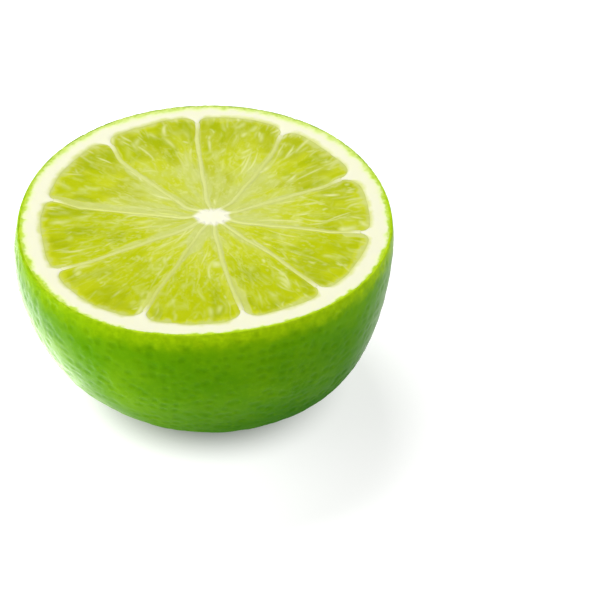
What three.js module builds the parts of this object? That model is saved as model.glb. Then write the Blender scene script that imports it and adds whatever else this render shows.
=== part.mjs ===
// Half a lime, cut across the fruit, standing on its stem end with the cut face up.
// Millimetres, +Z up. The surface that it stands on is z = 0, and the middle of the cut face is the line
// x = y = 0 before the last step, which puts the middle of the bounding box there.
//
// The fruit grew as one piece, so it is one closed solid: the peel outside, and on the cut face the rind's
// ring, the lobed pulp of each segment with its juice sacs in low relief, the membranes and the core.
// The mesh is one polar grid. Its columns run from the core over the rim and down to the stem end, and
// they keep to the membranes, so that each of those has a crest and two feet.
import * as THREE from "three";

// ---- Driving dimensions ----------------------------------------------------------------------------

const CUT_RADIUS = 26; // mean radius of the cut face, over the peel
const CUT_HEIGHT = 28.4; // the cut face above the surface
const WAIST_RADIUS = 26.33; // the fruit's widest place
const WAIST_HEIGHT = 25.3; // and how high that is
const DOME_POWERS = [1.86, 2.88]; // how full the dome is below the waist: along its axis, and across it
const LEAN = 2.8; // how far the stem end stands off the axis, towards +X
const LEAN_TURN = 0.445; // down to this share of the depth, the fruit bulges a little the other way
const RIM_ROUNDING = 0.3; // the cut edge of the peel

const PEEL_THICKNESS = 0.9; // the green layer
const RIND_THICKNESS = 3.0; // the green layer and the white pith, at the middle of a segment
const RIND_SWELL = 0.22; // the rind is this much thicker along X, and thinner along Y

// The core is a little off the fruit's axis.
const CORE_CENTRE = new THREE.Vector2(1.2, 0.6);
const CORE_RADIUS = 1.9;

// The membranes between the segments: each one's bearing from the core, in degrees, counter-clockwise
// from +X, and the corner radius of the two segments where it meets the rind.
const MEMBRANES = [
  { bearing: 25.4, corner: 1.6 },
  { bearing: 62.9, corner: 1.3 },
  { bearing: 96.4, corner: 1.2 },
  { bearing: 131.7, corner: 1.5 },
  { bearing: 170.5, corner: 0.9 },
  { bearing: 209.7, corner: 1.0 },
  { bearing: 246.9, corner: 1.6 },
  { bearing: 281.7, corner: 1.6 },
  { bearing: 313.2, corner: 1.5 },
  { bearing: 350.5, corner: 1.1 },
];
const MEMBRANE_FOOT = 0.45; // half the width of a membrane's ridge
const MEMBRANE_DROP = 0.12; // its crest below the cut face

const PULP_SINK = 0.5; // the pulp's edge below the cut face
const PULP_CROWN = 0.22; // how much the middle of a segment stands up again
const PULP_WALL = 0.35; // width of the slope from the pulp up to the pith
const SAC_RELIEF = 0.16; // height of a juice sac over the grooves beside it
const SAC_LENGTH = 6.5; // one sac along its row

// The cut face's outline: each harmonic's share of the radius, and the bearing of its first peak, in degrees.
const OUTLINE_HARMONICS = [
  { waves: 2, share: 0.0114, peak: 41.6 },
  { waves: 3, share: 0.0138, peak: -19.2 },
  { waves: 4, share: 0.0081, peak: -36.1 },
];

const FLAT_RADIUS = 5.5; // the flat ring that it stands on
const DIMPLE_RADIUS = 2.7; // the stem's dimple inside that ring
const DIMPLE_DEPTH = 0.9;
const BUTTON_RADIUS = 1.7; // the scar that the stem left, a five-lobed button in the dimple
const BUTTON_HEIGHT = 0.5;
const BUTTON_LOBES = 5;

// ---- How fine the grid is ----------------------------------------------------------------------------

const SAC_ROWS = 4; // rows of juice sacs across a segment
// Where the grid's columns run across a segment: on the sacs' crests and in the grooves between them, and
// closer together where the segment's corners are rounded.
const ACROSS = [0, 0.018, 0.05, 0.125, 0.25, 0.375, 0.5, 0.625, 0.75, 0.875, 0.95, 0.982, 1];
const PULP_RINGS = 13; // grid rings from the core to the pulp's edge
const DOME_RINGS = 17; // grid rings from the rim to the flat ring

const SEGMENTS = MEMBRANES.length;
const radians = THREE.MathUtils.degToRad;
const smoothstep = THREE.MathUtils.smoothstep;

// ---- Outside shape ---------------------------------------------------------------------------------

// How far the outline stands from a circle of radius 1, at a bearing from the fruit's axis.
function outlineShare(bearing) {
  const swell = OUTLINE_HARMONICS.map(
    ({ waves, share, peak }) => share * Math.cos(waves * (bearing - radians(peak))),
  );
  return 1 + swell.reduce((sum, s) => sum + s, 0);
}

// Distance from the core to the outline of the cut face, along a bearing from the core.
function reachToRim(bearing) {
  const direction = new THREE.Vector2(Math.cos(bearing), Math.sin(bearing));
  let reach = CUT_RADIUS;
  for (let i = 0; i < 12; i += 1) {
    const at = direction.clone().multiplyScalar(reach).add(CORE_CENTRE);
    reach += CUT_RADIUS * outlineShare(at.angle()) - at.length();
  }
  return reach;
}

// The share of the waist's radius at a depth below the waist, where depth 1 is the unflattened stem end.
function domeShare(depth) {
  return (1 - depth ** DOME_POWERS[0]) ** (1 / DOME_POWERS[1]);
}

// The depth at which the dome is as narrow as the flat ring.
const FLAT_DEPTH = (1 - (FLAT_RADIUS / WAIST_RADIUS) ** DOME_POWERS[1]) ** (1 / DOME_POWERS[0]);

// Mean radius and height on the dome, from 0 at the cut to 1 at the flat ring.
function domeProfile(along) {
  const waistAt = 0.16; // the waist's place along the profile
  if (along < waistAt) {
    const up = 1 - along / waistAt;
    const radius = WAIST_RADIUS - (WAIST_RADIUS - CUT_RADIUS) * up ** 2;
    return { radius, height: WAIST_HEIGHT + (CUT_HEIGHT - RIM_ROUNDING - WAIST_HEIGHT) * up };
  }
  const turn = ((along - waistAt) / (1 - waistAt)) * Math.asin(FLAT_DEPTH);
  const depth = Math.sin(turn);
  return { radius: WAIST_RADIUS * domeShare(depth), height: WAIST_HEIGHT * (1 - depth / FLAT_DEPTH) };
}

// ---- Columns of the grid ---------------------------------------------------------------------------

// One column: the segment that it belongs to, and where it runs across that segment.
function makeColumns() {
  const columns = [];
  for (let segment = 0; segment < SEGMENTS; segment += 1) {
    const before = MEMBRANES[segment];
    const after = MEMBRANES[(segment + 1) % SEGMENTS];
    const from = radians(before.bearing);
    const to = radians(after.bearing) + (after.bearing < before.bearing ? 2 * Math.PI : 0);
    columns.push({ segment, from, to, kind: "crest", across: 0 });
    ACROSS.forEach((across) => columns.push({ segment, from, to, kind: "pulp", across }));
  }
  return columns.map((column) => {
    const bearing = bearingAt(column, CUT_RADIUS);
    const reach = reachToRim(bearing);
    const nearFirst = bearing - column.from < column.to - bearing;
    const { corner } = MEMBRANES[nearFirst ? column.segment : (column.segment + 1) % SEGMENTS];
    const side = nearFirst ? bearing - column.from : column.to - bearing;
    const aside = Math.max(0, CUT_RADIUS * Math.sin(side) - MEMBRANE_FOOT);
    const short = Math.max(0, corner - aside);
    const dip = corner - Math.sqrt(corner ** 2 - short ** 2);
    const rind = RIND_THICKNESS + RIND_SWELL * Math.cos(2 * bearing);
    return { ...column, bearing, reach, pulpEdge: reach - rind - dip };
  });
}

// A column's bearing from the core at a distance from it. A membrane keeps its width all along.
function bearingAt(column, distance) {
  if (column.kind === "crest") return column.from;
  const span = column.to - column.from;
  const foot = Math.min(MEMBRANE_FOOT / distance, 0.3 * span);
  return column.from + foot + column.across * (span - 2 * foot);
}

// ---- The cut face ----------------------------------------------------------------------------------

// Height of the juice sacs' relief: long low ridges in rows that fan out from the core, staggered.
function sacRelief(column, distance) {
  const row = column.across * SAC_ROWS;
  const ridge = Math.sin(Math.PI * row) ** 2;
  const stagger = 0.37 * Math.floor(row) + 0.61 * column.segment;
  const alongSac = Math.abs(Math.sin(Math.PI * (distance / SAC_LENGTH + stagger)));
  const fade = smoothstep(distance, CORE_RADIUS, 3 * CORE_RADIUS);
  return SAC_RELIEF * fade * ridge * (0.35 + 0.65 * Math.sqrt(alongSac));
}

// Height of a column's point on the cut face, inside the rind. A crest stays near the cut.
function pulpHeight(column, distance) {
  if (column.kind === "crest") return CUT_HEIGHT - MEMBRANE_DROP;
  const acrossSwell = Math.sin(Math.PI * column.across);
  const alongSwell = smoothstep(distance, CORE_RADIUS, 2.5 * CORE_RADIUS);
  const nearEdge = smoothstep(column.pulpEdge - distance, 0, 3);
  const crown = PULP_CROWN * acrossSwell * alongSwell * nearEdge;
  return CUT_HEIGHT - PULP_SINK + crown + sacRelief(column, distance) * nearEdge;
}

function facePoint(column, distance, height) {
  const bearing = distance < column.pulpEdge ? bearingAt(column, distance) : column.bearing;
  const x = CORE_CENTRE.x + distance * Math.cos(bearing);
  const y = CORE_CENTRE.y + distance * Math.sin(bearing);
  return new THREE.Vector3(x, y, height);
}

// The rings of the cut face, from the core's edge to the rim, each a function of a column.
function faceRings() {
  const coreFoot = CORE_RADIUS + 0.4;
  const rings = [(c) => facePoint(c, CORE_RADIUS, CUT_HEIGHT - MEMBRANE_DROP)];
  for (let i = 0; i < PULP_RINGS; i += 1) {
    rings.push((c) => {
      const distance = THREE.MathUtils.lerp(coreFoot, c.pulpEdge - PULP_WALL, i / (PULP_RINGS - 1));
      return facePoint(c, distance, pulpHeight(c, distance));
    });
  }
  rings.push((c) => facePoint(c, c.pulpEdge, CUT_HEIGHT));
  rings.push((c) => facePoint(c, c.reach - PEEL_THICKNESS, CUT_HEIGHT));
  rings.push((c) => facePoint(c, c.reach - RIM_ROUNDING, CUT_HEIGHT));
  return rings;
}

// ---- The peel --------------------------------------------------------------------------------------

// How far the peel's rings stand off the axis, towards +X, at a height.
function drift(height) {
  const down = 1 - height / CUT_HEIGHT;
  return (LEAN * down * (down - LEAN_TURN)) / (1 - LEAN_TURN);
}

// A point at a mean radius on a column, out of round as the outline is, and rounder lower down.
function peelPoint(column, radius, height) {
  const rim = facePoint(column, column.reach, CUT_HEIGHT);
  const bearing = Math.atan2(rim.y, rim.x);
  const shaped = smoothstep(radius, FLAT_RADIUS, WAIST_RADIUS);
  const out = radius * (1 + shaped * (outlineShare(bearing) - 1));
  return new THREE.Vector3(out * Math.cos(bearing) + drift(height), out * Math.sin(bearing), height);
}

function peelRings() {
  const rings = [];
  for (let i = 0; i <= DOME_RINGS; i += 1) {
    const { radius, height } = domeProfile(i / DOME_RINGS);
    rings.push((c) => peelPoint(c, radius, height));
  }
  return rings;
}

// The stem's dimple and the five-lobed button in it.
function stemRings() {
  const buttonTop = DIMPLE_DEPTH - BUTTON_HEIGHT;
  const lobed = (c, radius, height) => {
    const swell = 1 + 0.16 * Math.cos(BUTTON_LOBES * c.bearing);
    return peelPoint(c, radius * swell, height);
  };
  return [
    (c) => peelPoint(c, DIMPLE_RADIUS, 0),
    (c) => lobed(c, BUTTON_RADIUS + 0.2, DIMPLE_DEPTH),
    (c) => lobed(c, BUTTON_RADIUS, buttonTop + 0.15),
    (c) => lobed(c, BUTTON_RADIUS - 0.35, buttonTop),
  ];
}

// ---- One closed mesh -------------------------------------------------------------------------------

const PEEL = 0;
const PITH = 1;
const PULP = 2;

function makeLime() {
  const columns = makeColumns();
  const face = faceRings();
  const rings = [...face, ...peelRings(), ...stemRings()];
  const points = rings.flatMap((ring) => columns.map(ring));
  const coreCentre = points.push(new THREE.Vector3(CORE_CENTRE.x, CORE_CENTRE.y, CUT_HEIGHT - MEMBRANE_DROP)) - 1;
  const stemTop = DIMPLE_DEPTH - BUTTON_HEIGHT;
  const stemCentre = points.push(new THREE.Vector3(drift(stemTop), 0, stemTop)) - 1;

  const triangles = [[], [], []]; // one list for each material
  const at = (ring, column) => ring * columns.length + (column % columns.length);
  const besideMembrane = (c) => columns[c].kind === "crest" || columns[(c + 1) % columns.length].kind === "crest";
  for (let c = 0; c < columns.length; c += 1) {
    triangles[PITH].push(coreCentre, at(0, c), at(0, c + 1));
    triangles[PEEL].push(stemCentre, at(rings.length - 1, c + 1), at(rings.length - 1, c));
    for (let r = 0; r < rings.length - 1; r += 1) {
      const onFlesh = r > 0 && r < face.length - 3 && !besideMembrane(c);
      const flesh = onFlesh ? PULP : PITH;
      const list = triangles[r < face.length - 2 ? flesh : PEEL];
      list.push(at(r, c), at(r + 1, c), at(r + 1, c + 1));
      list.push(at(r, c), at(r + 1, c + 1), at(r, c + 1));
    }
  }

  const geometry = new THREE.BufferGeometry().setFromPoints(points);
  geometry.setIndex(triangles.flat());
  let start = 0;
  triangles.forEach((list, material) => {
    geometry.addGroup(start, list.length, material);
    start += list.length;
  });
  return geometry;
}

const materials = [
  new THREE.MeshStandardMaterial({ name: "peel", color: 0x689a05, roughness: 0.38, metalness: 0 }),
  new THREE.MeshStandardMaterial({ name: "pith", color: 0xfbfce2, roughness: 0.7, metalness: 0 }),
  new THREE.MeshStandardMaterial({ name: "pulp", color: 0xbfcb22, roughness: 0.18, metalness: 0 }),
];

const geometry = makeLime();
geometry.computeBoundingBox();
const middle = geometry.boundingBox.getCenter(new THREE.Vector3());
geometry.translate(-middle.x, -middle.y, 0);
geometry.computeVertexNormals();

const limeHalf = new THREE.Mesh(geometry, materials);
limeHalf.name = "lime_half";

const part = new THREE.Group();
part.name = "lime";
part.add(limeHalf);

export default part;
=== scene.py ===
"""Dresses a lime half, cut across the fruit: skin, pith, membranes and juicy segments, in a pale studio.

All shapes are worked out in millimetres round the fruit's own axis, and go into their meshes in metres.
"""

import itertools
import math

import bpy
import numpy as np
from bpy.props import FloatProperty, FloatVectorProperty, PointerProperty
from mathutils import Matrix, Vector


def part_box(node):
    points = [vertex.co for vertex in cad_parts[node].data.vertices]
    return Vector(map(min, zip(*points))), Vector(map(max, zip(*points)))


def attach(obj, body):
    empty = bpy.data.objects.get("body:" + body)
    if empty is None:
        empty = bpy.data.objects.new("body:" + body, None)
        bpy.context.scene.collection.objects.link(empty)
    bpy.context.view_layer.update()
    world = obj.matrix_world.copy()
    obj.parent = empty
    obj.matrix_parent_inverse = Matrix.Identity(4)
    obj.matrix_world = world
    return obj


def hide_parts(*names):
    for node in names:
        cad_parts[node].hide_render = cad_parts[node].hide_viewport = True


bl_info = {
    "name": "Lime Half",
    "version": (1, 0, 0),
    "blender": (4, 5, 0),
    "location": "3D View > Sidebar > Lime",
    "description": "Models a halved lime with skin, pith, membranes and juicy segments",
    "category": "Add Mesh",
}

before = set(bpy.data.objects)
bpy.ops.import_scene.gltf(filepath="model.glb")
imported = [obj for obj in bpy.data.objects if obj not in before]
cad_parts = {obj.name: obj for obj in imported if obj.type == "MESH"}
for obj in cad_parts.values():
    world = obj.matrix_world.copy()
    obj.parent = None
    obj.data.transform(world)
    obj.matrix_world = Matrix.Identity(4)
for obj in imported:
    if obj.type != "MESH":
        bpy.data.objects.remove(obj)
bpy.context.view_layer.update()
BODY = "root"
NODE = "lime_half"
MM = 0.001

# ---- The fruit's form, as the solid has it (mm, and degrees for bearings) ----

CUT_RADIUS = 26.0
CUT_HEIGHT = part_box(NODE)[1].z / MM
WAIST_RADIUS = 26.33
WAIST_HEIGHT = 25.3
WAIST_AT = 0.16  # the waist's place along the dome's profile
DOME_POWERS = (1.86, 2.88)
LEAN = 2.8  # how far the stem end stands off the cut face's middle, towards +X
LEAN_TURN = 0.445  # down to this share of the depth, the fruit bulges a little the other way
RIND_SWELL = 0.22  # the rind is this much thicker along X, and thinner along Y
# the outline's waves round the fruit, each one's share of the radius, and the bearing of its first peak
OUTLINE_HARMONICS = ((2, 0.0114, 41.6), (3, 0.0138, -19.2), (4, 0.0081, -36.1))
CORE = np.array([1.2, 0.6])  # its middle, off the fruit's axis
FLAT_RADIUS = 5.5
# the share of the dome's depth at which it is as narrow as the flat ring
FLAT_DEPTH = (1 - (FLAT_RADIUS / WAIST_RADIUS) ** DOME_POWERS[1]) ** (1 / DOME_POWERS[0])
DIMPLE_RADIUS = 2.7
DIMPLE_DEPTH = 0.9
BUTTON_RADIUS = 1.7
BUTTON_TOP = 0.4
BUTTON_LOBES = 5
SCAR = (0.16, 0.12, 0.035, 1)  # the brown of the stem's scar
PAN_DEPTH = 4.3  # how deep the segments' bodies reach below the cut

# each membrane's bearing from the core, corner radius of the lobes beside it, bow sideways, and paleness
MEMBRANES = np.array(
    [
        (25.4, 1.6, -0.5, 0.85),
        (62.9, 1.3, -0.8, 0.8),
        (96.4, 1.2, 0.35, 1.0),
        (131.7, 1.5, 1.35, 0.9),
        (170.5, 0.9, 1.0, 0.7),
        (209.7, 1.0, 0.5, 0.8),
        (246.9, 1.6, -0.2, 0.6),
        (281.7, 1.6, -0.4, 0.85),
        (313.2, 1.5, 0.1, 0.8),
        (350.5, 1.1, -0.6, 0.75),
    ]
)
SEGMENTS = len(MEMBRANES)
STARTS = np.radians(MEMBRANES[:, 0])
SPANS = (np.roll(STARTS, -1) - STARTS) % math.tau  # the angle from each membrane to the next
CORNERS, BOWS, PALENESS = MEMBRANES[:, 1:].T


def face_middle():
    """Where the cut face's middle stands in the frame, in metres, worked out from the standing ring."""
    corners = np.array([v.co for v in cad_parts[NODE].data.vertices], float)
    ring = corners[corners[:, 2] < 1e-6]
    return (ring.min(axis=0) + ring.max(axis=0)) / 2 - (LEAN * MM, 0, 0)


AXIS = face_middle()

# ---- Noise and easing ----


def ease(low, high, value):
    """0 up to low, 1 from high on, and a smooth slope between."""
    share = np.clip((value - low) / (high - low), 0, 1)
    return share * share * (3 - 2 * share)


def lattice(cells, seed):
    """A random number from 0 to 1 for each whole-numbered cell: a hash of its list of coordinates."""
    number = np.full(cells[0].shape, seed * 2654435761 & 0xFFFFFFFF, np.int64)
    for cell, factor in zip(cells, (374761393, 668265263, 2246822519)):
        number = (number + cell.astype(np.int64) * factor) & 0xFFFFFFFF
        number = ((number ^ (number >> 15)) * 1274126177) & 0xFFFFFFFF
    return ((number ^ (number >> 13)) & 0xFFFFFF) / float(0xFFFFFF)


def noise(seed, *axes):
    """Smooth noise from 0 to 1 over one, two or three coordinates."""
    cells = [np.floor(a) for a in axes]
    parts = [a - c for a, c in zip(axes, cells)]
    parts = [p * p * p * (p * (p * 6 - 15) + 10) for p in parts]
    total = 0.0
    for corner in range(2 ** len(axes)):
        steps = [(corner >> i) & 1 for i in range(len(axes))]
        weight = 1.0
        for part, step in zip(parts, steps):
            weight = weight * (part if step else 1 - part)
        total = total + weight * lattice([c + s for c, s in zip(cells, steps)], seed)
    return total


def clouds(seed, *axes, octaves=3):
    """Noise with finer and fainter noise on it, from 0 to 1."""
    total, weight = 0.0, 0.0
    for octave in range(octaves):
        total = total + 0.5**octave * noise(seed + 31 * octave, *[a * 2**octave for a in axes])
        weight += 0.5**octave
    return total / weight


def patches(seed, places, size, octaves=3):
    """Clouds with details of a size in millimetres, over rows of x, y, z."""
    return clouds(seed, *(places / size).T, octaves=octaves)


def glands(seed, spots, spacing):
    """Distance from each point to the nearest of the scattered centres, as a share of their spacing."""
    axes = (spots / spacing).T
    base = np.floor(axes)
    nearest = np.full(len(spots), 9.0)
    for step in itertools.product((-1, 0, 1), repeat=3):
        cell = [b + s for b, s in zip(base, step)]
        off = [c + 0.15 + 0.7 * lattice(cell, seed + i) - axes[i] for i, c in enumerate(cell)]
        nearest = np.minimum(nearest, off[0] ** 2 + off[1] ** 2 + off[2] ** 2)
    return np.sqrt(nearest)


# ---- The cut face's plan ----


def outline_share(bearing):
    """How far the outline stands from a circle of radius 1, at a bearing from the fruit's axis."""
    return 1 + sum(s * np.cos(w * (bearing - math.radians(p))) for w, s, p in OUTLINE_HARMONICS)


def out_of_round(radius, bearing):
    """A mean radius on the peel, made out of round as the outline is, and less so lower down."""
    shaped = ease(FLAT_RADIUS, WAIST_RADIUS, radius)
    return radius * (1 + shaped * (outline_share(bearing) - 1))


def towards(bearing, degrees):
    """1 at bearings that point the same way as the one in degrees, and -1 opposite."""
    return np.cos(bearing - math.radians(degrees))


def from_core(distance, bearing):
    """The x and the y at a distance and a bearing from the core."""
    return CORE[0] + distance * np.cos(bearing), CORE[1] + distance * np.sin(bearing)


def measure_reach(bearing):
    """Distance from the core to the outline of the cut face."""
    reach = np.full(bearing.shape, CUT_RADIUS)
    for _ in range(12):
        x, y = from_core(reach, bearing)
        reach = reach + CUT_RADIUS * outline_share(np.arctan2(y, x)) - np.hypot(x, y)
    return reach


def nearest_membrane(bearing):
    """For bearings from the core: the angle to the nearest membrane, and which one that is."""
    past = (bearing[..., None] - STARTS) % math.tau
    before = np.argmin(past, axis=-1)
    first = np.take_along_axis(past, before[..., None], -1)[..., 0]
    last = SPANS[before] - first
    return np.minimum(first, last), np.where(first < last, before, (before + 1) % SEGMENTS)


def pulp_edge(bearing, rind, foot):
    """Distance from the core to the rind's inner edge, lobed with a rounded corner at each membrane.

    The corners begin at the foot, which is a distance from the membrane's middle line."""
    angle, nearest = nearest_membrane(bearing)
    corner = CORNERS[nearest]
    side = np.sin(np.clip(angle, 0, 1.5)) * CUT_RADIUS
    short = np.clip(1 - np.clip(side - foot, 0, None) / (1.8 * corner), 0, 1)
    dip = 1.15 * corner * (1 - np.sqrt(1 - short**2))
    uneven = 0.7 * (clouds(75, 9 + 4 * np.cos(bearing), 9 + 4 * np.sin(bearing)) - 0.5)
    return measure_reach(bearing) - rind - RIND_SWELL * np.cos(2 * bearing) - dip + uneven


def dome_profile(along):
    """Mean radius and height on the peel, from 0 at the cut to 1 at the flat ring."""
    if along < WAIST_AT:
        up = 1 - along / WAIST_AT
        radius = WAIST_RADIUS - (WAIST_RADIUS - CUT_RADIUS) * up**2
        return radius, WAIST_HEIGHT + (CUT_HEIGHT - WAIST_HEIGHT) * up
    depth = math.sin((along - WAIST_AT) / (1 - WAIST_AT) * math.asin(FLAT_DEPTH))
    radius = WAIST_RADIUS * (1 - depth ** DOME_POWERS[0]) ** (1 / DOME_POWERS[1])
    return radius, WAIST_HEIGHT * (1 - depth / FLAT_DEPTH)


def drift(height):
    """How far the peel's rings stand off the axis, towards +X, at a height."""
    down = 1 - height / CUT_HEIGHT
    return LEAN * down * (down - LEAN_TURN) / (1 - LEAN_TURN)


def even_profile(points, spacing):
    """Points along a fine polyline, at equal steps of about the spacing."""
    line = np.array(points)
    length = np.concatenate([[0], np.cumsum(np.linalg.norm(np.diff(line, axis=0), axis=1))])
    marks = np.linspace(0, length[-1], max(2, round(length[-1] / spacing)))
    return np.stack([np.interp(marks, length, column) for column in line.T], axis=1)


# ---- Making and dressing meshes ----


def deselect_all():
    """Leaves nothing selected, the CAD nodes included."""
    if bpy.context.object and bpy.context.object.mode != "OBJECT":
        bpy.ops.object.mode_set(mode="OBJECT")
    bpy.ops.object.select_all(action="DESELECT")


def select_only(obj):
    """Makes the object the active one and the only one selected."""
    deselect_all()
    bpy.context.view_layer.objects.active = obj
    obj.select_set(True)


def corners_of(obj):
    """The object's vertices as rows of x, y, z."""
    places = np.empty(len(obj.data.vertices) * 3)
    obj.data.vertices.foreach_get("co", places)
    return places.reshape(-1, 3)


def place_corners(obj, places):
    """Moves the vertices to places in millimetres round the fruit's axis."""
    metres = np.asarray(places, float) * MM
    metres[:, :2] += AXIS[:2]
    obj.data.vertices.foreach_set("co", metres.ravel())
    obj.data.update()


def add_attributes(obj, **fields):
    """Writes named numbers, one per vertex, for the materials to read."""
    for name, values in fields.items():
        layer = obj.data.attributes.new(name, "FLOAT", "POINT")
        layer.data.foreach_set("value", np.asarray(values, np.float32))


def spin_body(name, profile, steps, doublings=3):
    """A closed body: a profile of (radius, height) in mm, from axis to axis, spun round the axis.

    A sector is spun, then copied and turned until it goes all round, which is quicker than one long spin.
    Returns the object, and for each vertex its place along the profile and its bearing."""
    mesh = bpy.data.meshes.new(name)
    line = [(r * MM, 0, z * MM) for r, z in profile]
    mesh.from_pydata(line, [(i, i + 1) for i in range(len(line) - 1)], [])
    obj = bpy.data.objects.new(name, mesh)
    bpy.context.collection.objects.link(obj)
    select_only(obj)
    add_attributes(obj, row=np.arange(len(line)))
    bpy.ops.object.mode_set(mode="EDIT")
    bpy.ops.mesh.select_all(action="SELECT")
    sector = math.tau / 2**doublings
    bpy.ops.mesh.spin(steps=steps // 2**doublings, angle=sector, center=(0, 0, 0), axis=(0, 0, 1))
    for doubling in range(doublings):
        bpy.ops.mesh.select_all(action="SELECT")
        bpy.ops.mesh.duplicate()
        turn = sector * 2**doubling
        bpy.ops.transform.rotate(value=turn, orient_axis="Z", center_override=(0, 0, 0))
    bpy.ops.mesh.select_all(action="SELECT")
    bpy.ops.mesh.remove_doubles(threshold=1e-6)
    bpy.ops.mesh.normals_make_consistent(inside=False)
    bpy.ops.object.mode_set(mode="OBJECT")
    rows = np.empty(len(obj.data.vertices), np.float32)
    obj.data.attributes["row"].data.foreach_get("value", rows)
    obj.data.attributes.remove(obj.data.attributes["row"])
    places = corners_of(obj)
    return obj, np.round(rows).astype(int), np.arctan2(places[:, 1], places[:, 0])


def finish_piece(obj, material, crease):
    """Shades the piece, gives it its material and makes it ride on the body in the solid's stead."""
    select_only(obj)
    bpy.ops.object.shade_smooth_by_angle(angle=math.radians(crease))
    obj.data.materials.append(material)
    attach(obj, BODY)
    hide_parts(NODE)


class Shader:
    """Builds one node material, a step at a time."""

    def __init__(self, name, **sockets):
        self.material = bpy.data.materials.new(name)
        self.material.use_nodes = True
        self.nodes = self.material.node_tree.nodes
        self.links = self.material.node_tree.links
        self.surface = self.nodes["Principled BSDF"]
        for socket, value in sockets.items():
            self.surface.inputs[socket.replace("_", " ")].default_value = value

    def add(self, kind, inputs=(), **settings):
        """Adds a node, sets its properties and fills its inputs with values or other nodes' outputs."""
        node = self.nodes.new(kind)
        for key, value in settings.items():
            setattr(node, key, value)
        for key, value in dict(inputs).items():
            self.feed(node.inputs[key], value)
        return node

    def feed(self, socket, value):
        """Links a socket to another node's output, or sets its value."""
        if isinstance(value, bpy.types.NodeSocket):
            self.links.new(value, socket)
        else:
            socket.default_value = value

    def set(self, socket, value):
        """Feeds one of the surface's own sockets."""
        self.feed(self.surface.inputs[socket], value)

    def attribute(self, name):
        return self.add("ShaderNodeAttribute", attribute_name=name).outputs["Fac"]

    def noise(self, scale, detail, roughness):
        """Procedural noise on Object coordinates. The scale is in cells per millimetre."""
        place = self.add("ShaderNodeTexCoord").outputs["Object"]
        place = self.add("ShaderNodeMapping", {"Vector": place, "Scale": [scale / MM] * 3}).outputs[0]
        inputs = {"Vector": place, "Scale": 1.0, "Detail": detail, "Roughness": roughness}
        return self.add("ShaderNodeTexNoise", inputs).outputs[0]

    def ramp(self, value, low, high, to_low=0.0, to_high=1.0):
        """A smooth slope: one value up to low, another from high on."""
        inputs = {0: value, 1: low, 2: high, 3: to_low, 4: to_high}
        return self.add("ShaderNodeMapRange", inputs, interpolation_type="SMOOTHSTEP").outputs[0]

    def mix(self, share, first, second):
        """Mixes two colours, with a share of 1 for the second alone."""
        node = self.add("ShaderNodeMix", data_type="RGBA")
        for key, value in ((0, share), (6, first), (7, second)):
            self.feed(node.inputs[key], value)
        return node.outputs[2]

    def coats(self, base, **colours):
        """Lays colours over a base in turn, each as strongly as the attribute of its name says."""
        for name, colour in colours.items():
            base = self.mix(self.attribute(name), base, colour)
        return base

    def math(self, operation, first, second):
        return self.add("ShaderNodeMath", {0: first, 1: second}, operation=operation).outputs[0]

    def scatter(self, weight, radius, scale):
        """Lets light into the surface, as deep as the scale in millimetres."""
        self.set("Subsurface Weight", weight)
        self.set("Subsurface Radius", radius)
        self.set("Subsurface Scale", scale * MM)

    def bump(self, height, distance, strength):
        """Bump on the whole surface, with the distance in millimetres."""
        inputs = {"Height": height, "Distance": distance * MM, "Strength": strength}
        self.set("Normal", self.add("ShaderNodeBump", inputs).outputs[0])


# ---- What a user can change ----


def length_property(name, default, description):
    """A length property, with its default given in millimetres."""
    return FloatProperty(
        name=name, description=description, default=default * MM, min=0, precision=5, unit="LENGTH"
    )


def colour_property(name, srgb, description):
    """A colour property, with its default given as the screen shows it, from 0 to 255."""
    linear = [((c / 255 + 0.055) / 1.055) ** 2.4 if c > 10 else c / 255 / 12.92 for c in srgb]
    default = (*linear, 1.0)
    return FloatVectorProperty(
        name=name, description=description, default=default, size=4, min=0, max=1, subtype="COLOR"
    )


class LimeSizes(bpy.types.PropertyGroup):
    """Sizes of the lime's layers and relief"""

    skin: length_property("Skin", 0.35, "Thickness of the dark outermost skin")
    rind: length_property("Rind", 3.0, "Peel and pith together, at the middle of a segment")
    core: length_property("Core radius", 1.7, "Mean radius of the white core")
    membrane: length_property("Membrane", 0.27, "Half the width of a membrane's crest")
    sink: length_property("Pulp sink", 0.11, "How far the pulp lies below the cut")
    sacs: length_property("Sac relief", 0.05, "How far a juice sac bulges")
    pit_spacing: length_property("Pit spacing", 1.45, "Distance between the skin's oil pits")
    pit_depth: length_property("Pit depth", 0.085, "Depth of the skin's oil pits")


class LimeColours(bpy.types.PropertyGroup):
    """Colours of the lime's tissues"""

    skin: colour_property("Skin", (86, 145, 1), "The skin's main green")
    # skin_light also paints the light near the cut and down the left side
    skin_light: colour_property("Light skin", (132, 178, 3), "The skin near the cut and on bumps")
    # skin_dark also paints the shade low down, in front and in the pits
    skin_dark: colour_property("Dark skin", (46, 104, 1), "Pits and darker patches of the skin")
    # skin_rim is partly the cut edge's own yellow-green, partly painted light under the cut
    skin_rim: colour_property("Skin rim", (170, 208, 9), "The skin just under the cut")
    zest: colour_property("Zest", (192, 224, 40), "The cut edge of the green layer")
    blush: colour_property("Blush", (227, 247, 137), "The pith right inside the green layer")
    pith: colour_property("Pith", (241, 241, 212), "The white layer")
    core: colour_property("Core", (250, 249, 222), "The white core in the middle")
    membrane: colour_property("Membrane", (217, 223, 138), "The walls between the segments")
    pulp: colour_property("Pulp", (171, 185, 1), "Deep, clear pulp")
    pulp_bright: colour_property("Bright pulp", (187, 199, 3), "Clear pulp that the light comes through")
    pulp_mid: colour_property("Middle pulp", (186, 195, 36), "Pulp with some veil over it")
    pulp_warm: colour_property("Warm pulp", (200, 209, 38), "The same, where the light comes through")
    pulp_milky: colour_property("Milky pulp", (205, 213, 118), "Veiled pulp by membranes and core")
    # fibre is also the colour of the painted glints on the pulp
    fibre: colour_property("Fibre", (228, 233, 160), "Walls of juice sacs and fine threads")


# ---- Skin ----


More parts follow.
